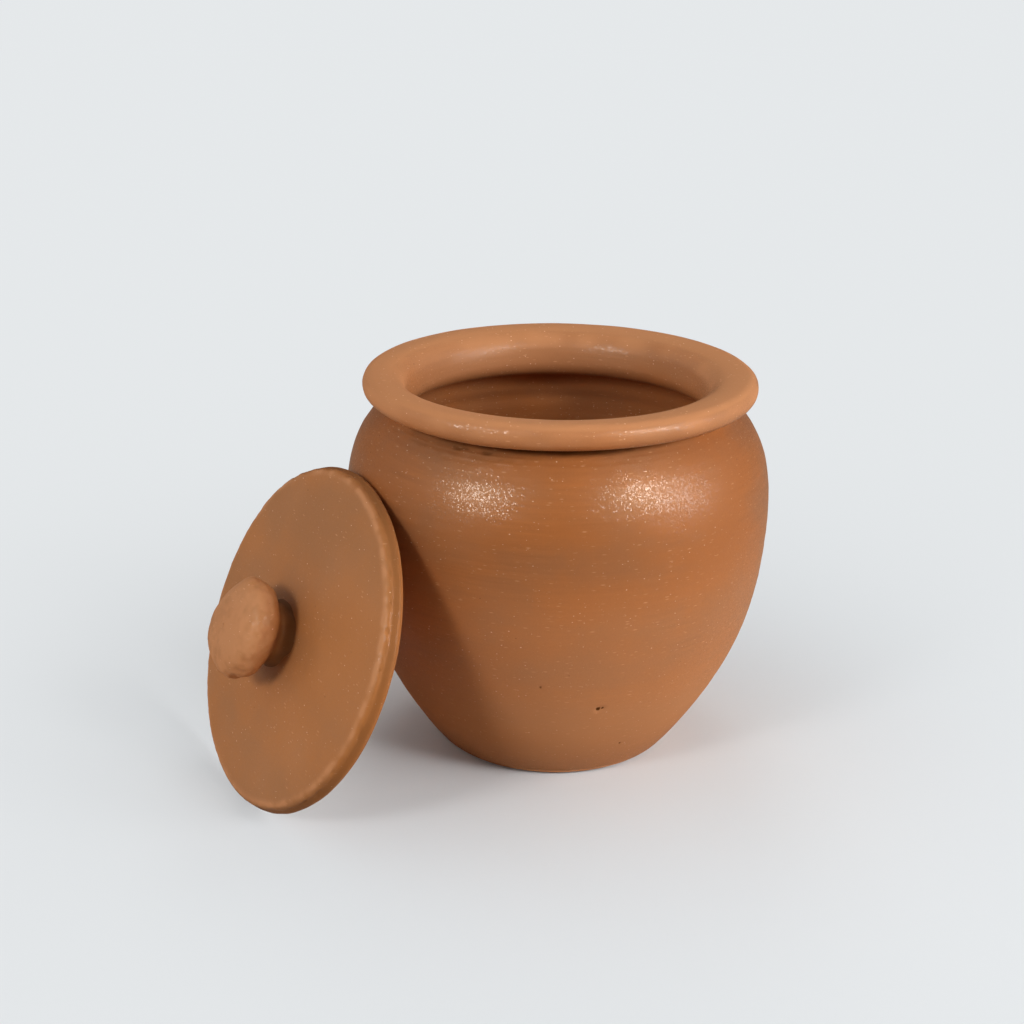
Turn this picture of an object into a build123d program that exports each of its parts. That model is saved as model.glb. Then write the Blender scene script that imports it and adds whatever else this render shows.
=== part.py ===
from build123d import *
import math
import os

# Clay water pot with a loose flat lid that leans against its shoulder.
# Millimetres. The origin is the centre of the pot's foot, on the floor, and +Z is up.

# Pot, outside
pot_height = 206.0
foot_radius = 66.0  # where the wall would meet the floor if its edge were sharp
foot_round = 7.0
belly_radius = 113.5
belly_height = 133.0
shoulder_rise = 27.0  # how far the shoulder's curve keeps to the belly's upright direction
shoulder_reach = 24.0  # how far it keeps to the neck's slope
neck_slope = 40.0  # degrees from level, where the shoulder meets the neck

# Pot, mouth
throat_radius = 80.7
throat_round = 6.0
flare_height = 28.0  # from the throat up to the rim's top
neck_thickness = 8.8  # around the throat
neck_fillet = 2.0
rim_overhang = 14.5  # how far the rim reaches past the neck
rim_roll = 6.2  # radius of the rolled outer edge
rim_undercut = 1.6  # how far the rim's underside falls towards the neck

# Pot, inside
wall = 7.5
floor_thickness = 9.0
floor_round = 12.0

# Lid plate
lid_overlap = 8.5  # how far the plate reaches past the throat
lid_thickness = 10.0
lid_edge_round = 3.5

# Knob
knob_radius = 25.3
knob_height = 35.0
knob_dome = 18.5  # height of the dome above the widest ring
knob_edge_round = 8.0
knob_neck_radius = 14.0
knob_foot_radius = 17.0
knob_foot_height = 4.0  # below this height the luting clay spreads out
knob_aside = 11.5  # the knob was set by eye, off the plate's middle
knob_low = 3.6  # and this far towards the plate's lower edge

# How the lid leans
lid_lean = 24.0  # degrees from upright
lid_facing = 212.4  # direction that the knob points to, in degrees from +X
lid_aside = 12.4  # how far the plate's middle is from the pot's own line of facing
rest_gap = 0.3  # between the plate and the pot

neck_radius = throat_radius + neck_thickness
neck_height = pot_height - 2 * rim_roll - rim_undercut
throat_height = pot_height - flare_height
crest_radius = neck_radius + rim_overhang - rim_roll
inner_radius = belly_radius - wall
lid_radius = throat_radius + lid_overlap
knob_widest_height = knob_height - knob_dome


def round_corner(section, corner, radius):
    """Round the corner of a section that is nearest to the given point."""
    fillet(section.vertices().sort_by_distance(corner)[0], radius)


# The pot is one turned piece. Its half section has the radius along X and the height along Y.
with BuildPart() as pot:
    with BuildSketch(Plane.XZ) as pot_section:
        with BuildLine():
            foot = Line((0, 0), (foot_radius, 0))
            side = TangentArc((belly_radius, belly_height), foot @ 1, tangent=(0, -1))
            neck = Vector(neck_radius, neck_height)
            shoulder = Bezier(
                side @ 0,
                side @ 0 + Vector(0, shoulder_rise),
                neck + Vector(shoulder_reach, 0).rotate(Axis.Z, -neck_slope),
                neck,
            )
            Line(neck, (crest_radius, pot_height - 2 * rim_roll))
            CenterArc((crest_radius, pot_height - rim_roll), rim_roll, -90, 180)
            flare = EllipticalCenterArc(
                (crest_radius, throat_height),
                crest_radius - throat_radius,
                pot_height - throat_height,
                start_angle=90,
                arc_size=90,
            )
            inner_shoulder = Bezier(
                flare @ 1, (inner_radius, throat_height), (inner_radius, belly_height)
            )
            inner_side = TangentArc(
                inner_shoulder @ 1, (foot_radius - wall, floor_thickness), tangent=(0, -1)
            )
            floor = Line(inner_side @ 1, (0, floor_thickness))
            Line(floor @ 1, foot @ 0)
        make_face()
        round_corner(pot_section, foot @ 1, foot_round)
        round_corner(pot_section, neck, neck_fillet)
        round_corner(pot_section, flare @ 1, throat_round)
        round_corner(pot_section, floor @ 0, floor_round)
    revolve(axis=Axis.Z)

# Directions of the leaning lid: facing is level, and lid_axis runs out of the plate's front face.
lean = math.radians(lid_lean)
facing = Vector(1, 0, 0).rotate(Axis.Z, lid_facing)
lid_axis = facing * math.cos(lean) + Vector(0, 0, 1) * math.sin(lean)
sideways = Vector(0, 0, 1).cross(facing)
downhill = sideways.cross(lid_axis)

# The plate's lower edge stands on the floor.
plate_middle_height = (
    lid_edge_round
    + (lid_radius - lid_edge_round) * math.cos(lean)
    + (lid_thickness / 2 - lid_edge_round) * math.sin(lean)
)


def plate_back(distance):
    """Plane of the plate's back when its middle is this far out from the pot's middle."""
    middle = facing * distance - sideways * lid_aside + Vector(0, 0, plate_middle_height)
    return Plane(middle - lid_axis * lid_thickness / 2, x_dir=sideways, z_dir=lid_axis)


def make_plate(back):
    """A round flat plate with rounded edges, its back on the given plane."""
    with BuildPart() as plate:
        with BuildSketch(back):
            Circle(lid_radius)
        extrude(amount=lid_thickness)
        fillet(plate.edges().filter_by(GeomType.CIRCLE), lid_edge_round)
    return plate


# Start well clear of the pot and close the gap until only the rest gap is left.
lid_distance = belly_radius + lid_radius
approach_steps = 6
for step in range(approach_steps):
    gap = pot.part.distance_to(make_plate(plate_back(lid_distance)).part)
    lid_distance -= gap - rest_gap

lid_back = plate_back(lid_distance)
lid_disc = make_plate(lid_back)

# The knob is turned about its own axis, which stands on the plate's front face.
knob_base = lid_back.offset(lid_thickness).origin - sideways * knob_aside + downhill * knob_low
knob_plane = Plane(knob_base, x_dir=sideways, z_dir=downhill)
with BuildPart() as lid_knob:
    with BuildSketch(knob_plane) as knob_section:
        with BuildLine():
            base = Line((0, 0), (knob_foot_radius, 0))
            luting = TangentArc((knob_neck_radius, knob_foot_height), base @ 1, tangent=(0, -1))
            underside = EllipticalCenterArc(
                (knob_neck_radius, knob_widest_height),
                knob_radius - knob_neck_radius,
                knob_widest_height - knob_foot_height,
                start_angle=-90,
                arc_size=90,
            )
            dome = TangentArc((0, knob_height), underside @ 1, tangent=(1, 0))
            Line(dome @ 0, base @ 0)
        make_face()
        round_corner(knob_section, dome @ 1, knob_edge_round)
    revolve(axis=Axis(knob_base, lid_axis))

pot.part.label = "pot"
lid_disc.part.label = "lid_disc"
lid_knob.part.label = "lid_knob"

os.makedirs("parts", exist_ok=True)
export_step(pot.part, "parts/pot.step")
export_step(lid_disc.part, "parts/lid_disc.step")
export_step(lid_knob.part, "parts/lid_knob.step")
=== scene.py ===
import bpy
import math
import numpy as np
from mathutils import Matrix, Vector


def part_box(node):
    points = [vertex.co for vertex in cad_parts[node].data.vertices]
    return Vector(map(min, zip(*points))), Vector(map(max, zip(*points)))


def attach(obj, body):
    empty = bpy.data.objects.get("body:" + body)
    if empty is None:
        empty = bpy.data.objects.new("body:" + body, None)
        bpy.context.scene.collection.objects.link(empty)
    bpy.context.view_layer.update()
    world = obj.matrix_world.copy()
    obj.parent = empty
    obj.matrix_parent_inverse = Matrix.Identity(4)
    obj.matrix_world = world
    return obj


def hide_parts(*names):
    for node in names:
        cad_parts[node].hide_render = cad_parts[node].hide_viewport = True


# The looks of a hand-thrown clay water pot and its loose lid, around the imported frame.
# Outlines and displacements are in millimetres, and MM turns them into metres. Places on a
# turned body are a height in millimetres and an angle in degrees from its own X axis.

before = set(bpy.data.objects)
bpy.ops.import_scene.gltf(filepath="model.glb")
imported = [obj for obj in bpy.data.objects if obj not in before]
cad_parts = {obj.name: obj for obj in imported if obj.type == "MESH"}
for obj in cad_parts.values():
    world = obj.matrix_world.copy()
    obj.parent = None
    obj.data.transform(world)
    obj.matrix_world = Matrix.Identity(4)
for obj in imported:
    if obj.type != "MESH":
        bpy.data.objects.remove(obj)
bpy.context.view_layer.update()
scene = bpy.context.scene
MM = 0.001
TURN = 2 * math.pi
UP = Vector((0, 0, 1))


# ---------------------------------------------------------------- noise and curves

# Large odd numbers and a mask of 32 bits, which scramble whole numbers into noise.
SCRAMBLE = (374761393, 668265263, 2147483647, 1274126177)
MASK = 0xFFFFFFFF
KEPT_BITS = 0xFFFFFF


def lattice(ix, iy, iz, seed):
    """A repeatable number from -1 to 1 for each whole-number point of space."""
    h = (ix * SCRAMBLE[0] + iy * SCRAMBLE[1] + iz * SCRAMBLE[2] + seed * SCRAMBLE[3]) & MASK
    h = ((h ^ (h >> 13)) * SCRAMBLE[3]) & MASK
    h = ((h ^ (h >> 16)) * SCRAMBLE[1]) & MASK
    return ((h ^ (h >> 15)) & KEPT_BITS) / float(KEPT_BITS) * 2 - 1


def lumps(points, size, seed, squeeze=1.0):
    """Smooth noise from -1 to 1 with features of about the given size, in the points' unit.
    A squeeze below 1 draws the features out along the first two axes."""
    p = points * [squeeze, squeeze, 1] / size
    whole = np.floor(p)
    cell = whole.astype(np.int64)
    f = p - whole
    w = f * f * f * (f * (f * 6 - 15) + 10)
    total = 0
    for dx in (0, 1):
        for dy in (0, 1):
            for dz in (0, 1):
                share_x = w[..., 0] if dx else 1 - w[..., 0]
                share_y = w[..., 1] if dy else 1 - w[..., 1]
                share_z = w[..., 2] if dz else 1 - w[..., 2]
                value = lattice(cell[..., 0] + dx, cell[..., 1] + dy, cell[..., 2] + dz, seed)
                total = total + value * share_x * share_y * share_z
    return total


def bezier(points, spacing):
    """Points along a Bezier curve of any degree, about the given spacing apart."""
    points = np.array(points, float)
    length = np.linalg.norm(np.diff(points, axis=0), axis=1).sum()
    t = np.linspace(0, 1, max(3, int(length / spacing) + 1))[:, None]
    level = [np.broadcast_to(point, (len(t), 2)) for point in points]
    while len(level) > 1:
        level = [a * (1 - t) + b * t for a, b in zip(level, level[1:])]
    return level[0]


def arc(centre, radii, start, end, spacing):
    """Points along an arc of a circle or an ellipse, with angles in degrees."""
    radii = np.broadcast_to(radii, 2)
    count = max(3, int(abs(math.radians(end - start)) * radii.max() / spacing) + 1)
    a = np.radians(np.linspace(start, end, count))
    return np.array(centre) + radii * np.column_stack([np.cos(a), np.sin(a)])


def joined(*runs):
    """Runs of points as one outline, with doubled points left out."""
    out = np.vstack(runs)
    keep = np.r_[True, np.linalg.norm(np.diff(out, axis=0), axis=1) > 0.05]
    return out[keep]


def near(value, middle, width):
    """A smooth bump of height 1 around the middle."""
    return np.exp(-(((value - middle) / width) ** 2))


def ramp(value, low, high):
    """0 at low and beyond it, 1 at high and beyond it, smooth between. It may also run down."""
    t = np.clip((value - low) / (high - low), 0, 1)
    return t * t * (3 - 2 * t)


def turned_from(angle, middle):
    """How far an angle is from a middle given in degrees, the short way round, in radians."""
    return np.angle(np.exp(1j * (angle - math.radians(middle))))


def side(angle, middle, width):
    """A smooth bump of height 1 around one side of a turned body, in degrees."""
    return near(np.degrees(turned_from(angle, middle)), 0, width)


def ridges(length, angle, seed, sizes):
    """Throwing ridges, -1 to 1: waves along the outline that climb slowly round the body."""
    picks = np.random.default_rng(seed)
    total = 0
    for size in sizes:
        climb = picks.choice([-1, 1])
        phase = picks.uniform(0, TURN)
        drift = 0.9 * np.sin(2 * angle + picks.uniform(0, TURN))
        total = total + np.sin(TURN * length / size + climb * angle + phase + drift)
    return total / len(sizes)


def turned_faces(rings, around):
    """Four-sided faces between neighbouring rings, and a fan of triangles to each pole."""
    ring = np.arange(rings - 1)[:, None] * around
    here = np.arange(around)[None, :]
    there = (here + 1) % around
    quads = np.stack([ring + here, ring + there, ring + around + there, ring + around + here], -1)
    faces = quads.reshape(-1, 4).tolist()
    first_pole, last_pole = rings * around, rings * around + 1
    last = (rings - 1) * around
    faces += [[first_pole, (n + 1) % around, n] for n in range(around)]
    faces += [[last_pole, last + n, last + (n + 1) % around] for n in range(around)]
    return faces


def turned(name, outline, around, shape, place=Matrix.Identity(4)):
    """A closed turned body. The outline runs from axis to axis as (radius, height), and shape
    gives the points, and for each three marks of 0 to 1, from a ring's radius, height, angle and
    length along the outline: stains and painted shade, rubbing and painted light, and a hollow.
    The hollow may be left out."""
    run = np.r_[0, np.cumsum(np.linalg.norm(np.diff(outline, axis=0), axis=1))][1:-1, None]
    theta = np.linspace(0, TURN, around, endpoint=False)[None, :]
    rings = outline[1:-1]
    ones = np.ones((len(rings), around))
    points, *amounts = shape(rings[:, :1] * ones, rings[:, 1:] * ones, theta * ones, run * ones)
    poles = np.array([points[0].mean(0), points[-1].mean(0)])
    poles[:, 2] = outline[0, 1], outline[-1, 1]
    vertices = np.vstack([points.reshape(-1, 3), poles]) * MM
    mesh = bpy.data.meshes.new(name)
    mesh.from_pydata(vertices.tolist(), [], turned_faces(len(rings), around))
    for label, amount in zip(("stain_and_shade", "wear_and_light", "hollow"), amounts):
        marks = mesh.attributes.new(label, "FLOAT", "POINT")
        marks.data.foreach_set("value", np.append(amount.ravel(), [0, 0]).astype(np.float32))
    mesh.transform(place)
    mesh.shade_smooth()
    piece = bpy.data.objects.new(name, mesh)
    scene.collection.objects.link(piece)
    return piece


# ---------------------------------------------------------------- the pot

# Points of the pot's half section, as (radius, height).
FOOT_RING = (52.0, 0.5)
FOOT_FLAT = (62.5, 0.0)
FOOT_EDGE = (68.2, 2.7)
BELLY = (113.5, 133.0)
NECK = (89.5, 192.0)
UNDERCUT = (90.4, 192.9)
CREST = (97.8, 199.8)
THROAT = (78.3, 187.6)
INNER_BELLY = (106.0, 133.0)
INNER_FOOT = (70.0, 23.0)
INNER_FLOOR = (50.0, 9.0)
TOP = 206.0
LIP = 6.2  # radius of the rolled lip, whose middle is the crest
THROAT_ROUND = 9.0
SHOULDER_RISE = 27.0  # how far the shoulder keeps to the belly's upright direction
SHOULDER_REACH = 24.0  # how far it keeps to the neck's slope
NECK_SLOPE = math.radians(40)
SIDE_ROUND = 209.9  # radius of the outside below the belly
SIDE_FALL = -38.4  # degrees from the belly down to the foot
INNER_ROUND = 185.6  # the same two on the inside
INNER_FALL = -36.3
throat_bend = (THROAT[0] + THROAT_ROUND, THROAT[1])
throat_end = (throat_bend[0], throat_bend[1] - THROAT_ROUND)
shoulder_lead = (BELLY[0], BELLY[1] + SHOULDER_RISE)
neck_lead = (
    NECK[0] + SHOULDER_REACH * math.cos(NECK_SLOPE),
    NECK[1] - SHOULDER_REACH * math.sin(NECK_SLOPE),
)
pot_outline = joined(
    bezier([(0, 0.9), (30, 0.8), FOOT_RING], 5),
    bezier([FOOT_RING, (57, 0.0), FOOT_FLAT], 1.5),
    bezier([FOOT_FLAT, (66.0, 0.0), FOOT_EDGE], 0.6),
    arc((BELLY[0] - SIDE_ROUND, BELLY[1]), SIDE_ROUND, SIDE_FALL, 0.0, 1.2),
    bezier([BELLY, shoulder_lead, neck_lead, NECK], 1.1),
    bezier([NECK, (89.0, 192.6), UNDERCUT], 0.4),
    bezier([UNDERCUT, (94, 193.4), (CREST[0], CREST[1] - LIP)], 0.8),
    arc(CREST, LIP, -90, 90, 0.6),
    bezier([(CREST[0], TOP), (83.3, TOP), (THROAT[0], 202.0), THROAT], 0.8),
    arc(throat_bend, THROAT_ROUND, 180, 270, 0.6),
    bezier([throat_end, (INNER_BELLY[0], 177.6), INNER_BELLY], 2.0),
    arc((INNER_BELLY[0] - INNER_ROUND, INNER_BELLY[1]), INNER_ROUND, 0.0, INNER_FALL, 3.0),
    bezier([INNER_FOOT, (62.0, 9.2), INNER_FLOOR], 1.8),
    bezier([INNER_FLOOR, (25.0, 8.8), (0.0, 9.4)], 3.0),
)
# Small pits in the front wall: angle, height, radius and depth.
PITS = (
    (-95.3, 72.0, 1.0, 0.6),
    (-78.4, 56.3, 1.5, 0.9),
    (-77.0, 57.0, 0.9, 0.6),
    (-66.5, 25.0, 0.9, 0.5),
    (-109.0, 111.0, 0.6, 0.3),
    (-52.0, 112.0, 0.7, 0.4),
    (-20.0, 88.0, 1.2, 0.7),
    (40.0, 120.0, 1.1, 0.7),
    (95.0, 75.0, 1.3, 0.8),
    (150.0, 140.0, 1.0, 0.6),
)


def slip_scraps(angle):
    """How much slip was left in the groove under the rim: some all round, most at the left."""
    return 0.25 + 0.75 * side(angle, 238, 34)


def pot_unevenness(rail, height, angle, length, inside):
    """How far the hand-made surface stands out from the outline, in millimetres."""
    outside = 1 - inside
    wall = ramp(height, 5, 20) * (1 - ramp(height, 188, 192)) * outside
    push = wall * (0.05 * ridges(length, angle, 3, (5.3, 8.1, 13.0, 21.0)) - 0.12)
    push += wall * 0.22 * (lumps(rail, 48, 5) - 0.5)
    push += wall * 0.07 * lumps(rail, 7, 6, squeeze=0.35)
    push += wall * 0.035 * lumps(rail, 2.6, 7, squeeze=0.4)
    lip = near(height, 200, 6) * outside
    push += lip * (0.16 * lumps(rail, 19, 8) + 0.05 * lumps(rail, 6, 9) - 0.24)
    push += lip * 0.05 * lumps(rail, 2.6, 63, squeeze=0.6)
    flare = inside * ramp(TOP - height, 2, 12) * ramp(height, 172, 182)
    push += flare * 0.12 * ridges(length, angle, 12, (9.0, 14.0, 22.0))
    push += flare * 0.25 * lumps(rail, 35, 13)
    push += flare * 0.05 * lumps(rail, 2.8, 64, squeeze=0.5)
    push += inside * (1 - ramp(height, 160, 175)) * 0.5 * ridges(length, angle, 21, (11.0, 17.0))
    # Finger marks and scraps of slip in the groove under the rim.
    groove = near(height, 187, 4.5) * outside
    scraps = slip_scraps(angle)
    push += groove * scraps * 0.3 * ridges(length, angle, 33, (2.3, 3.1))
    push += groove * scraps * 0.25 * lumps(rail, 2.2, 34, squeeze=0.5)
    return push


def pot_stain_and_shade(rail, radius, height, angle, outside):
    """Dark slip scraps in the groove under the rim, most at the front left; painted shadow under
    the lip at the front; and darker from the belly up to the neck.
    """
    dark = 0.38 * near(height, 190.0, 2.6) * outside * (1 + lumps(rail, 9, 36))
    dark *= slip_scraps(angle)
    scrape = ramp(lumps(rail, 1.7, 62, squeeze=0.22), 0.15, 0.6) * near(height, 187.5, 3.2)
    dark = np.maximum(dark, 0.75 * scrape * outside * side(angle, 240, 26))
    # Painted shadow under the rolled lip at the front.
    shadow_under_lip = side(angle, 268, 30) * near(height, 191.4, 2.4) * ramp(radius, 97, 91) * outside
    dark = np.maximum(dark, 1.5 * shadow_under_lip * (0.85 + 0.3 * lumps(rail, 6, 38)))
    # Darker from the belly up to the neck.
    shoulder = 0.22 * ramp(height, 80, 150) * (1 - ramp(height, 186, 192)) * outside
    return np.clip(np.maximum(dark, shoulder), 0, 1)


def pot_wear_and_light(rail, height, angle, inside):
    """The rim is rubbed pale, with painted shade at its front and painted light at its left. The
    mouth and the inside carry painted light, and the lower body is paler.
    """
    rubbed = 0.75 + 0.30 * lumps(rail, 12, 37)
    # Painted shade on the front of the rim and painted light on its left.
    rubbed -= 0.2 * side(angle, 275, 50)
    rubbed += 0.2 * side(angle, 190, 45)
    worn_and_lit = ramp(height, 190, 201) * rubbed
    worn_and_lit = np.maximum(worn_and_lit, ramp(height, 202.5, 205))
    # Painted light in the mouth and down inside the pot.
    worn_and_lit = np.maximum(worn_and_lit, inside * 0.45 * ramp(height, 176, 190))
    worn_and_lit = np.maximum(worn_and_lit, inside * 0.2)
    # Paler towards the lower body.
    low_down = 0.35 * (1 - ramp(height, 100, 150)) + 0.65 * near(height, 34, 36)
    return np.clip(np.maximum(worn_and_lit, low_down * (1 - inside)), 0, 1)


def pot_shape(radius, height, angle, length):
    """The pot's points, with the hand-made unevenness pushed along the outline's own normal."""
    c, s = np.cos(angle), np.sin(angle)
    # Noise is read on a plain cylinder of 100 mm, so that it isn't stretched where the wall slopes.
    rail = np.stack([c * 100, s * 100, length], -1)
    run = length[:, :1]
    crest_run = run[np.argmax(height[:, 0])]
    inside = ramp(run, crest_run + 3, crest_run + 14)
    outside = 1 - inside
    push = pot_unevenness(rail, height, angle, length, inside)
    hollow = np.zeros_like(radius)
    for pit_angle, pit_height, pit_radius, depth in PITS:
        across = radius * turned_from(angle, pit_angle)
        pit = near(np.hypot(across, height - pit_height), 0, pit_radius) * outside
        push -= depth * pit
        hollow = np.maximum(hollow, pit)
    push *= ramp(height, -1, 4)
    dr, dz = np.gradient(radius[:, 0]), np.gradient(height[:, 0])
    size = np.hypot(dr, dz) + 1e-9
    out_r, out_z = (dz / size)[:, None], (-dr / size)[:, None]
    r = radius + push * out_r
    z = height + push * out_z
    # The mouth sits a little to the left, and the wall swells at the lower right.
    left = 1.6 * inside * near(height, 192, 20) + 0.5 * (1 - ramp(height, 0, 90)) * outside
    left -= 0.8 * near(height, 75, 40) * ramp(c, 0.2, 0.9) * outside
    left -= 0.5 * ramp(-c, 0.2, 0.9) * near(height, 196, 12) * outside
    # The rolled lip sags at the front left, and the rim dips towards the back left.
    sag = 0.9 * near(height, 196, 7) * outside * side(angle, 247, 32)
    dip = 0.45 * ramp(height, 150, 200) * side(angle, 150, 60)
    z -= (sag + dip) * ramp(TOP - height, -4, 6)
    points = np.stack([r * c - left, r * s, np.clip(z, 0, TOP)], -1)
    dark = pot_stain_and_shade(rail, radius, height, angle, outside)
    return points, dark, pot_wear_and_light(rail, height, angle, inside), hollow


pot = turned("pot_body", pot_outline, 640, pot_shape)
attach(pot, "pot")
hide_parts("pot")

# ---------------------------------------------------------------- the lid

LID_LEAN = math.radians(24.0)  # from upright
LID_FACING = math.radians(212.4)
facing = Vector((math.cos(LID_FACING), math.sin(LID_FACING), 0))
lid_axis = facing * math.cos(LID_LEAN) + UP * math.sin(LID_LEAN)
sideways = UP.cross(facing)
uphill = lid_axis.cross(sideways)
low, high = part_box("lid_disc")
plate_middle = (low + high) / 2


def standing(origin):
    """Local X runs along the lid sideways, local Y up its slope and local Z out of its face."""
    turn = Matrix((sideways, uphill, lid_axis)).transposed().to_4x4()
    return Matrix.Translation(origin) @ turn


LID = 89.2  # radius of the plate
LID_HALF = 5.0  # half of its thickness
BACK_EDGE = 3.5  # radius of the rounded edge at the back
FRONT_EDGE = (4.6, 3.6)  # how far the front's rounded edge reaches inwards and down the side
TAPER = 1.4  # how far the side runs in from the back to the front
plate_outline = joined(
    bezier([(0, -LID_HALF), (40, -LID_HALF), (LID - BACK_EDGE, -LID_HALF)], 1.6),
    arc((LID - BACK_EDGE, -LID_HALF + BACK_EDGE), BACK_EDGE, -90, 0, 0.5),
    bezier([(LID, -LID_HALF + BACK_EDGE), (LID - TAPER, LID_HALF - FRONT_EDGE[1])], 0.5),
    arc((LID - TAPER - FRONT_EDGE[0], LID_HALF - FRONT_EDGE[1]), FRONT_EDGE, 0, 90, 0.4),
    bezier([(LID - TAPER - FRONT_EDGE[0], LID_HALF), (40, LID_HALF), (0, LID_HALF)], 1.1),
)
KNOB_AT = (-12.3, -4.0)  # from the plate's middle, sideways and up the slope
# Nicks in the plate's edge: angle, height on the edge, length, width and depth.
CHIPS = (
    (-10.0, 1.2, 3.2, 1.0, 0.6),
    (-37.0, 0.6, 4.2, 1.2, 0.7),
    (-44.0, 1.6, 1.6, 0.9, 0.4),
    (12.0, 3.2, 2.6, 1.3, 0.45),
    (33.0, 3.0, 1.8, 1.0, 0.4),
    (-64.0, 2.4, 2.2, 1.1, 0.45),
    (120.0, 2.8, 3.4, 1.4, 0.6),
    (201.0, 2.4, 2.6, 1.2, 0.6),
)


def plate_shape(radius, height, angle, length):
    """The lid plate's unevenness: an uneven edge and a face that isn't quite flat."""
    c, s = np.cos(angle), np.sin(angle)
    edge = ramp(radius, LID - 14, LID)
    rail = np.stack([c * 89, s * 89, height * 2], -1)
    flat = np.stack([radius * c, radius * s, height * 6], -1)
    swell = 1.0 * side(angle, 135, 24) - 0.35 + 0.25 * lumps(rail, 30, 41)
    swell -= 0.3 * side(angle, 180, 30)
    swell += 0.12 * lumps(rail, 7, 42) + 0.45 * lumps(rail, 3.0, 57) * near(height, 3.4, 1.8)
    # The edge that stands on the floor isn't swollen.
    r = radius + edge * np.minimum(swell, 0.8) * (1 - side(angle, 270, 14))
    front = ramp(height, 0, 3)
    dip = 0.22 + 0.20 * lumps(flat, 34, 43) + 0.10 * lumps(flat, 13, 44) + 0.03 * lumps(flat, 4, 45)
    z = height - front * dip * (1 - 0.5 * edge)
    z += (1 - front) * 0.12 * (1 + lumps(flat, 25, 46))
    # The plate was smoothed round the knob by finger, which left a shallow dished ring.
    x, y = radius * c - KNOB_AT[0], radius * s - KNOB_AT[1]
    away = np.hypot(x, y)
    turn = np.arctan2(y, x)
    dished = near(away, 33 + 3 * np.sin(turn * 2 + 1), 5)
    z -= front * 0.35 * dished * (0.6 + 0.4 * lumps(flat, 20, 47))
    dark = np.zeros_like(r)
    for chip_angle, chip_height, chip_length, chip_width, depth in CHIPS:
        across = radius * turned_from(angle, chip_angle)
        rise = height - chip_height - 0.2 * across
        chip = near(np.hypot(across / chip_length, rise / chip_width), 0, 1) * edge
        chip *= 0.7 + 0.6 * lumps(rail, 1.7, 48)
        r -= depth * chip
        # Painted shade in the nicks.
        dark = np.maximum(dark, 0.45 * ramp(chip, 0.45, 1))
    # Painted shade on the plate's side wall.
    dark = np.maximum(dark, 0.5 * near(height, 0, 3) * edge)
    # The rounded front edge is paler: partly rubbing, partly a painted highlight.
    corner = 0.75 * near(radius, LID - 3.6, 2.0) * ramp(height, 3, 4.6)
    worn_and_lit = corner * (0.9 + 1.2 * lumps(rail, 4, 49))
    worn_and_lit = np.clip(worn_and_lit + 0.12 * (1 + lumps(flat, 22, 50)) * (height > 4), 0, 1)
    return np.stack([r * c, r * s, z], -1), dark, worn_and_lit


plate = turned("lid_plate", plate_outline, 600, plate_shape, standing(plate_middle))
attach(plate, "lid")
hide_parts("lid_disc")

# Points of the knob's half section, as (radius, height above the plate's face).
KNOB_FOOT = (18.5, -0.6)
KNOB_STEM = (14.8, 4.4)
KNOB_WIDEST = (25.9, 18.8)
KNOB_TOP = (0, 30.6)
knob_outline = joined(
    bezier([(0, KNOB_FOOT[1]), (10, KNOB_FOOT[1]), KNOB_FOOT], 1.2),
    bezier([KNOB_FOOT, (15.9, 0.7), (15.0, 2.4), KNOB_STEM], 0.45),
    bezier([KNOB_STEM, (15.0, 9.5), (KNOB_WIDEST[0], 10.5), KNOB_WIDEST], 0.5),
    bezier([KNOB_WIDEST, (KNOB_WIDEST[0], 27.0), (19.0, KNOB_TOP[1]), KNOB_TOP], 0.6),
)
THUMB = (-0.62, 0.45, 0.64)  # the way that the flat left by a thumb faces
THUMB_REACH = 28.6  # how far out along that way the knob is left as it was


def knob_shape(radius, height, angle, length):
    """A lump shaped by hand: soft facets, and clay squeezed out at its foot."""
    c, s = np.cos(angle), np.sin(angle)
    at = np.stack([radius * c, radius * s, height], -1)
    body = ramp(height, 5, 12)
    swell = 1 + body * (0.026 * lumps(at, 17, 51) + 0.034 * lumps(at, 6, 52) - 0.012)
    swell += body * (0.012 * lumps(at, 2.4, 56) + 0.06 * side(angle, 55, 26))
    foot = 1 - ramp(height, 0.5, 4.0)
    spread = 1 + foot * (0.09 * lumps(at, 8, 53) + 0.05)
    r = radius * swell * spread
    z = height * (1 - body * (0.015 + 0.02 * lumps(at, 15, 54)))
    # What lies past the thumb's flat is pressed back by a part of the way.
    depth = r * (c * THUMB[0] + s * THUMB[1]) + z * THUMB[2]
    over = 0.3 * np.maximum(depth - THUMB_REACH, 0)
    points = np.stack([r * c, r * s, z], -1) - over[..., None] * THUMB
    # Painted shade on the knob's neck and foot, under the cap.
    shade_under_cap = 1 - ramp(height, 10, 16)
    dark = shade_under_cap * (0.42 + 0.15 * lumps(at, 5, 55)) + 0.2 * foot
    # The cap is paler towards its top: partly rubbing, partly painted light.
    worn_and_lit = ramp(height, 12, 22) * (0.85 + 0.4 * lumps(at, 7, 58) + 0.3 * lumps(at, 2.4, 59))
    return points, np.clip(dark, 0, 1), np.clip(worn_and_lit, 0, 1)


knob_base = plate_middle + (lid_axis * LID_HALF + sideways * KNOB_AT[0] + uphill * KNOB_AT[1]) * MM
knob = turned("lid_knob_body", knob_outline, 260, knob_shape, standing(knob_base))
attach(knob, "lid")
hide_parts("lid_knob")

# ---------------------------------------------------------------- clay


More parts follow.
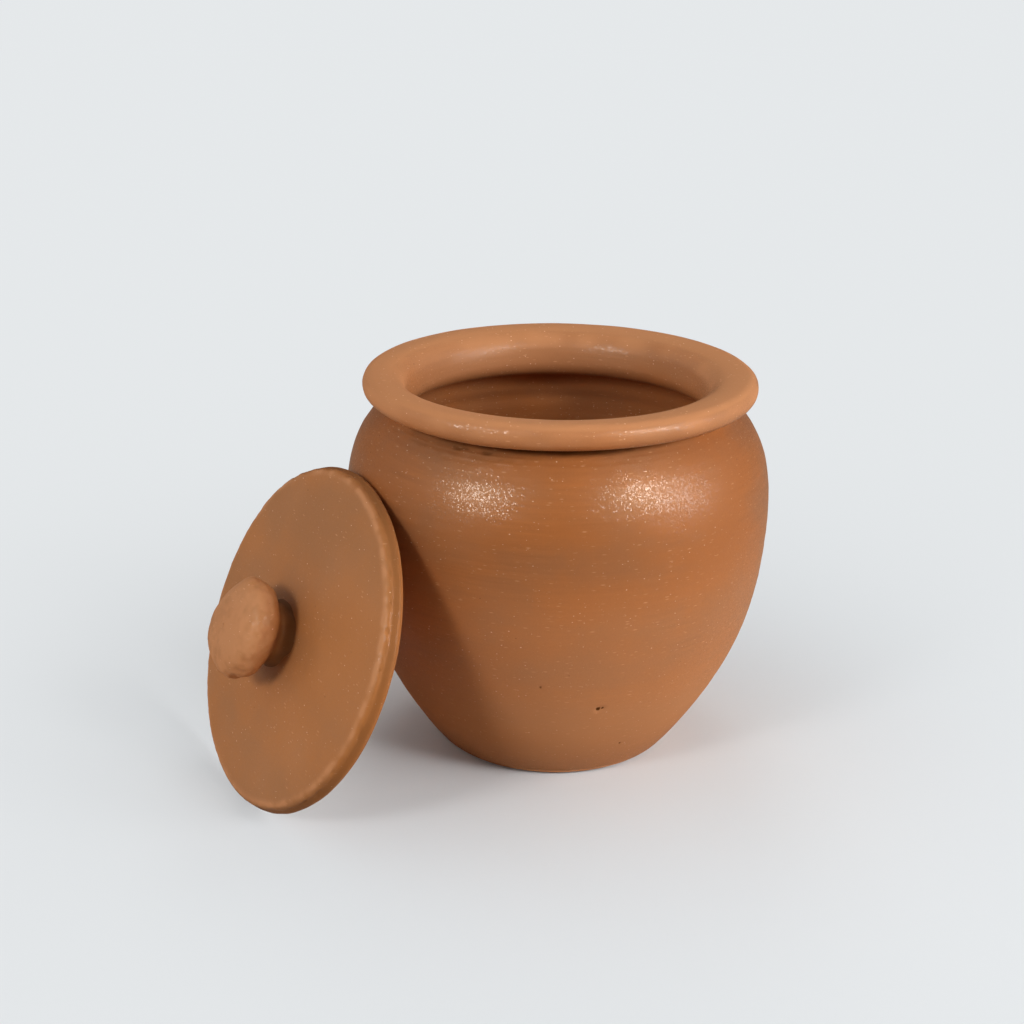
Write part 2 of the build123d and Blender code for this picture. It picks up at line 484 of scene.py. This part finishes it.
class Shader:
    """Short ways to add nodes to a material or a world."""

    def __init__(self, owner):
        owner.use_nodes = True
        self.owner = owner
        self.tree = owner.node_tree
        self.tree.nodes.clear()

    def plug(self, socket, value):
        """A socket takes either a link from another socket or a plain value."""
        if isinstance(value, bpy.types.NodeSocket):
            self.tree.links.new(value, socket)
        else:
            socket.default_value = value

    def add(self, kind, inputs, **settings):
        made = self.tree.nodes.new("ShaderNode" + kind)
        for key, value in settings.items():
            setattr(made, key, value)
        for key, value in inputs.items():
            self.plug(made.inputs[key], value)
        return made

    def math(self, operation, a, b=0.0):
        return self.add("Math", {0: a, 1: b}, operation=operation).outputs[0]

    def vector(self, operation, a, b=(0, 0, 0)):
        return self.add("VectorMath", {0: a, 1: b}, operation=operation).outputs[0]

    def noise(self, vector, scale, detail, rough):
        inputs = {"Vector": vector, "Scale": scale, "Detail": detail, "Roughness": rough}
        return self.add("TexNoise", inputs).outputs["Fac"]

    def cells(self, vector, scale):
        return self.add("TexVoronoi", {"Vector": vector, "Scale": scale}, feature="F1")

    def remap(self, value, a, b, low=0.0, high=1.0):
        """Low where the value is a, high where it is b, smooth between and level beyond."""
        inputs = {"Value": value, "From Min": a, "From Max": b, "To Min": low, "To Max": high}
        return self.add("MapRange", inputs, interpolation_type="SMOOTHSTEP").outputs[0]

    def mix(self, factor, a, b, blend="MIX"):
        made = self.add("Mix", {0: factor, 6: a, 7: b}, data_type="RGBA", blend_type=blend)
        return made.outputs[2]

    def marks(self, name):
        """The numbers of that name that are stored on the mesh."""
        return self.add("Attribute", {}, attribute_name=name).outputs["Fac"]

    def grains(self, vector, scale, share, inner, outer):
        """1 inside round grains of uneven size, which are in about that share of the cells."""
        cells = self.cells(vector, scale)
        pick = self.add("SeparateColor", {0: cells.outputs["Color"]})
        chosen = self.math("GREATER_THAN", pick.outputs[0], 1 - share)
        reach = self.remap(pick.outputs[1], 0.0, 1.0, 0.55, 1.0)
        far = self.math("DIVIDE", cells.outputs["Distance"], reach)
        strength = self.remap(pick.outputs[2], 0.0, 1.0, 0.25, 1.0)
        spot = self.math("MULTIPLY", self.remap(far, outer, inner), strength)
        return self.math("MULTIPLY", chosen, spot)


# Pale colour of rubbed clay, also used for painted light.
WORN_AND_LIT = (0.56, 0.240, 0.100, 1)
PALE_GRAIN = (0.72, 0.40, 0.22, 1)
FLECK = (0.72, 0.36, 0.17, 1)
LIGHT_GRAIN = (0.90, 0.60, 0.38, 1)
DARK_GRAIN = (0.14, 0.040, 0.012, 1)
# Dark colour for stains and painted shade, and a tint that dims gloss on them.
STAIN_AND_SHADE = (0.10, 0.034, 0.008, 1)
GLOSS_TINT = (1.0, 0.80, 0.58, 1)
STAIN_AND_SHADE_TINT = (0.25, 0.10, 0.04, 1)
GRAIN_TILT = 0.25  # how far the shiny grains lean from the surface


def mottled(s, place, warm, dull):
    """The clay's own colour, which wanders between warm and dull in blotches and level bands."""
    mottle = s.noise(place, 9.0, 3.0, 0.55)
    blotches = s.noise(place, 45.0, 3.0, 0.6)
    bands = s.noise(s.vector("MULTIPLY", place, (6.0, 6.0, 38.0)), 1.0, 2.0, 0.5)
    tone = s.math("ADD", s.math("MULTIPLY", mottle, 0.45), s.math("MULTIPLY", bands, 0.35))
    tone = s.math("ADD", tone, s.math("MULTIPLY", blotches, 0.20))
    return s.mix(s.remap(tone, 0.40, 0.60), (*dull, 1), (*warm, 1))


def shiny_grains(s, place, share, surface):
    """1 in that share of the grains of sand, and the surface's normal, tilted another way in
    each grain, so that the gloss on them breaks up into glints."""
    sand = s.cells(place, 1900.0)
    pick = s.add("SeparateColor", {0: sand.outputs["Color"]}).outputs
    glint = s.math("GREATER_THAN", pick[2], 1 - share)
    third = s.math("FRACT", s.math("MULTIPLY", pick[2], 57.0))
    way = s.add("CombineXYZ", {0: pick[0], 1: pick[1], 2: third}).outputs[0]
    way = s.vector("SUBTRACT", way, (0.5, 0.5, 0.5))
    lean_by = s.add("VectorMath", {0: way, "Scale": GRAIN_TILT}, operation="SCALE").outputs[0]
    return glint, s.vector("NORMALIZE", s.vector("ADD", surface, lean_by))


def clay(name, warm, dull, seed, lines, gloss, glints, specks):
    """Unglazed terracotta with sand in it. Lines is the strength of its turning lines, gloss
    runs from 0 for matt to 1 for rubbed smooth, glints is the share of shiny grains, and specks
    is how many light grains show."""
    s = Shader(bpy.data.materials.new(name))
    here = s.add("TexCoord", {}).outputs["Object"]
    place = s.vector("ADD", here, (seed, seed * 0.7, seed * 1.3))
    # Squeezed sideways, so that the noise on it changes with height and hardly round the body.
    level = s.add("Mapping", {"Vector": place, "Scale": (0.03, 0.03, 1.0)}).outputs[0]
    streaks = s.noise(level, 520.0, 3.0, 0.6)
    patch = s.remap(s.noise(place, 22.0, 2.0, 0.5), 0.42, 0.62)
    grain = s.noise(place, 1300.0, 3.0, 0.65)
    flat = s.vector("MULTIPLY", place, (1.0, 1.0, 1.6))
    flatter = s.vector("MULTIPLY", place, (1.0, 1.0, 4.0))
    light = s.grains(flat, 360.0, 0.42 * specks, 0.06, 0.21)
    fleck = s.grains(flatter, 190.0, 0.50 * specks, 0.05, 0.34)
    pale = s.grains(place, 800.0, 0.14, 0.10, 0.30)
    dark = s.grains(flat, 230.0, 0.07, 0.05, 0.16)
    wear_and_light = s.marks("wear_and_light")
    # The pits' hollows are darkened as painted shade, together with the stains and painted shade on
    # the mesh.
    stain_and_shade = s.math("MAXIMUM", s.marks("stain_and_shade"), s.remap(s.marks("hollow"), 0.45, 0.62))

    fine = s.math("MULTIPLY", s.math("SUBTRACT", streaks, 0.5), s.math("MULTIPLY", patch, lines))
    fine = s.math("ADD", fine, s.math("MULTIPLY", s.math("SUBTRACT", grain, 0.5), 0.16))
    shade = s.math("ADD", fine, 1.0)
    grey = s.add("CombineColor", {0: shade, 1: shade, 2: shade}).outputs[0]
    colour = s.mix(1.0, mottled(s, place, warm, dull), grey, "MULTIPLY")
    # Rubbing and painted light make the clay paler; sand grains lie over it.
    layers = (
        (wear_and_light, 0.8, WORN_AND_LIT),
        (pale, 0.25, PALE_GRAIN),
        (fleck, 0.6, FLECK),
        (light, 0.85, LIGHT_GRAIN),
        (dark, 0.75, DARK_GRAIN),
    )
    for amount, strength, tint in layers:
        colour = s.mix(s.math("MULTIPLY", amount, strength), colour, tint)
    # Stains and painted shade darken the clay.
    colour = s.mix(stain_and_shade, colour, STAIN_AND_SHADE)

    rough = s.remap(grain, 0.3, 0.7, 0.56 - 0.24 * gloss, 0.70 - 0.26 * gloss)
    rough = s.math("ADD", rough, s.math("MULTIPLY", stain_and_shade, 0.35))
    rough = s.math("ADD", rough, s.math("MULTIPLY", wear_and_light, 0.42 * gloss))
    height = s.math("MULTIPLY", grain, 0.15)
    height = s.math("ADD", height, s.math("MULTIPLY", s.math("MULTIPLY", streaks, patch), lines))
    height = s.math("ADD", height, s.math("MULTIPLY", light, 0.15))
    bump = s.add("Bump", {"Height": height, "Distance": 0.0003, "Strength": 0.6})
    glint, tilted = shiny_grains(s, place, glints, bump.outputs[0])
    kept = s.math("SUBTRACT", 1.0, s.math("MAXIMUM", stain_and_shade, s.math("POWER", wear_and_light, 3.0)))
    inputs = {
        "Base Color": colour,
        "Roughness": rough,
        "IOR": 1.45,
        # Gloss dims where there are stains and painted shade.
        "Specular Tint": s.mix(stain_and_shade, GLOSS_TINT, STAIN_AND_SHADE_TINT),
        "Normal": bump.outputs[0],
        "Coat Weight": s.math("MULTIPLY", s.math("MULTIPLY", glint, kept), 0.65 * gloss),
        "Coat Roughness": 0.24,
        "Coat Normal": tilted,
    }
    shader = s.add("BsdfPrincipled", inputs)
    s.add("OutputMaterial", {"Surface": shader.outputs[0]})
    return s.owner


pot_clay = clay(
    "pot_clay",
    warm=(0.418, 0.131, 0.031),
    dull=(0.340, 0.126, 0.045),
    seed=3.0,
    lines=0.45,
    gloss=1.0,
    glints=0.50,
    specks=1.0,
)
# The lid's clay is a copy of the pot's, a little lighter: partly its own tone, partly painted light
# on its face.
lid_clay = clay(
    "lid_clay",
    warm=(0.445, 0.158, 0.041),
    dull=(0.380, 0.150, 0.050),
    seed=11.0,
    lines=0.06,
    gloss=0.4,
    glints=0.50,
    specks=0.6,
)
pot.data.materials.append(pot_clay)
plate.data.materials.append(lid_clay)
knob.data.materials.append(lid_clay)

# ---------------------------------------------------------------- studio

PALE = (0.785, 0.81, 0.825, 1)  # what the camera sees of the background
SKY = (0.97, 0.985, 1.0, 1)
FLOOR_TONE = (0.745, 0.768, 0.785, 1)
FLOOR_BOUNCE = (0.44, 0.38, 0.32, 1)
FLOOR_SIZE = 30.0  # metres from the floor's middle to each side
SHADOW_REACH = 0.205  # metres from the pot at which the floor is half shaded and half plain
SHADOW_FADE = 3.2  # how sharply it changes there


def unlit_share(s):
    """1 for the rays that show a plain background: those from the camera and through glass."""
    path = s.add("LightPath", {}).outputs
    return s.math("MAXIMUM", path["Is Camera Ray"], path["Is Transmission Ray"])


def make_floor():
    """A wide pale floor that keeps the object's shadow and fades into the background."""
    mesh = bpy.data.meshes.new("floor")
    corners = [(x * FLOOR_SIZE, y * FLOOR_SIZE, 0) for x, y in ((-1, -1), (1, -1), (1, 1), (-1, 1))]
    mesh.from_pydata(corners, [], [(0, 1, 2, 3)])
    floor = bpy.data.objects.new("floor", mesh)
    scene.collection.objects.link(floor)
    s = Shader(bpy.data.materials.new("paper"))
    here = s.add("TexCoord", {}).outputs["Object"]
    away = s.add("VectorMath", {0: here}, operation="LENGTH").outputs["Value"]
    spread = s.math("POWER", s.math("MULTIPLY", away, 1 / SHADOW_REACH), SHADOW_FADE)
    share = s.math("DIVIDE", spread, s.math("ADD", spread, 1.0))
    # The light that the floor sends back onto the clay is kept low, for deep warm shadows.
    path = s.add("LightPath", {}).outputs
    bounce = s.math("MAXIMUM", path["Is Diffuse Ray"], path["Is Glossy Ray"])
    lit = s.add("BsdfDiffuse", {"Color": s.mix(bounce, FLOOR_TONE, FLOOR_BOUNCE)})
    plain = s.add("Emission", {"Color": PALE, "Strength": 1.0})
    fade = s.math("MULTIPLY", unlit_share(s), share)
    both = s.add("MixShader", {0: fade, 1: lit.outputs[0], 2: plain.outputs[0]})
    s.add("OutputMaterial", {"Surface": both.outputs[0]})
    mesh.materials.append(s.owner)


# Brightness of the room from each side, as light and as what gloss shows.
ROOM = {"front": 0.0, "back": 0.1, "left": 1.5, "right": 0.75, "top": 0.15}
MIRRORED = {"front": 0.05, "back": 0.08, "left": 0.12, "right": 0.30, "top": 0.20}


def from_all_sides(s, levels):
    """A brightness that blends smoothly between the levels of the five sides."""
    way = s.add("SeparateXYZ", {0: s.add("TexCoord", {}).outputs["Generated"]})
    x, y, z = way.outputs
    sides = {
        "right": s.math("MAXIMUM", x, 0.0),
        "left": s.math("MAXIMUM", s.math("MULTIPLY", x, -1.0), 0.0),
        "back": s.math("MAXIMUM", y, 0.0),
        "front": s.math("MAXIMUM", s.math("MULTIPLY", y, -1.0), 0.0),
        "top": s.math("MAXIMUM", z, 0.0),
    }
    total = 0.0
    for name, toward in sides.items():
        part = s.math("MULTIPLY", s.math("MULTIPLY", toward, toward), levels[name])
        total = s.math("ADD", part, total)
    return total


def make_room():
    """A room whose walls and ceiling send different light, and which looks plain and pale."""
    world = bpy.data.worlds.new("room")
    scene.world = world
    s = Shader(world)
    light = s.add("Background", {"Color": SKY, "Strength": from_all_sides(s, ROOM)})
    mirrored = s.add("Background", {"Color": PALE, "Strength": from_all_sides(s, MIRRORED)})
    plain = s.add("Background", {"Color": PALE, "Strength": 1.0})
    gloss = s.add("LightPath", {}).outputs["Is Glossy Ray"]
    unseen = s.add("MixShader", {0: gloss, 1: light.outputs[0], 2: mirrored.outputs[0]})
    both = s.add("MixShader", {0: unlit_share(s), 1: unseen.outputs[0], 2: plain.outputs[0]})
    s.add("OutputWorld", {"Surface": both.outputs[0]})


LAMP_AIM = Vector((0, 0, 0.12))
LAMP_DISTANCE = 1.4
WHITE_LIGHT = (1.0, 1.0, 1.0)
WARM_LIGHT = (1.0, 0.86, 0.70)


def softbox(name, azimuth, elevation, size, power, colour=WHITE_LIGHT, diffuse=True, gloss=True):
    """A square lamp that faces the pot. Azimuth 0 is the camera's side, and + is to its right.
    Diffuse and gloss say whether it lights the clay itself and whether it shines in gloss."""
    a, e = math.radians(azimuth), math.radians(elevation)
    way = Vector((math.sin(a) * math.cos(e), -math.cos(a) * math.cos(e), math.sin(e)))
    data = bpy.data.lights.new(name, "AREA")
    data.shape = "SQUARE"
    data.size = size
    data.energy = power
    data.color = colour
    lamp = bpy.data.objects.new(name, data)
    lamp.location = LAMP_AIM + way * LAMP_DISTANCE
    lamp.rotation_mode = "QUATERNION"
    lamp.rotation_quaternion = way.to_track_quat("Z", "Y")
    lamp.visible_diffuse = diffuse
    lamp.visible_glossy = gloss
    scene.collection.objects.link(lamp)


make_floor()
make_room()
softbox("left_box", -43, 27, 0.28, 5.5)
softbox("right_box", 46, 29, 0.32, 7.8)
softbox("far_right_box", 68, 16, 0.50, 9.0)
softbox("back_box", 180, 45, 0.50, 3.0, gloss=False)
softbox("left_sheen", -46, 29, 0.30, 9.5, WARM_LIGHT, diffuse=False)
softbox("right_sheen", 47, 31, 0.30, 8.5, WARM_LIGHT, diffuse=False)

# ---------------------------------------------------------------- camera

SENSOR_WIDTH = 36.0
LENS = 49.22
CAMERA_AT = (-0.0243, -0.7128, 0.4022)
CAMERA_DOWN = 21.30  # degrees below level
CAMERA_ROLL = 0.51

camera = bpy.data.cameras.new("camera")
camera.sensor_width = SENSOR_WIDTH
camera.lens = LENS
camera.clip_start = 0.01
camera.clip_end = 100.0
eye = bpy.data.objects.new("camera", camera)
scene.collection.objects.link(eye)
pitch = Matrix.Rotation(math.radians(90 - CAMERA_DOWN), 4, "X")
roll = Matrix.Rotation(math.radians(CAMERA_ROLL), 4, "Z")
eye.matrix_world = Matrix.Translation(CAMERA_AT) @ pitch @ roll
scene.camera = eye
scene.view_settings.view_transform = "Standard"
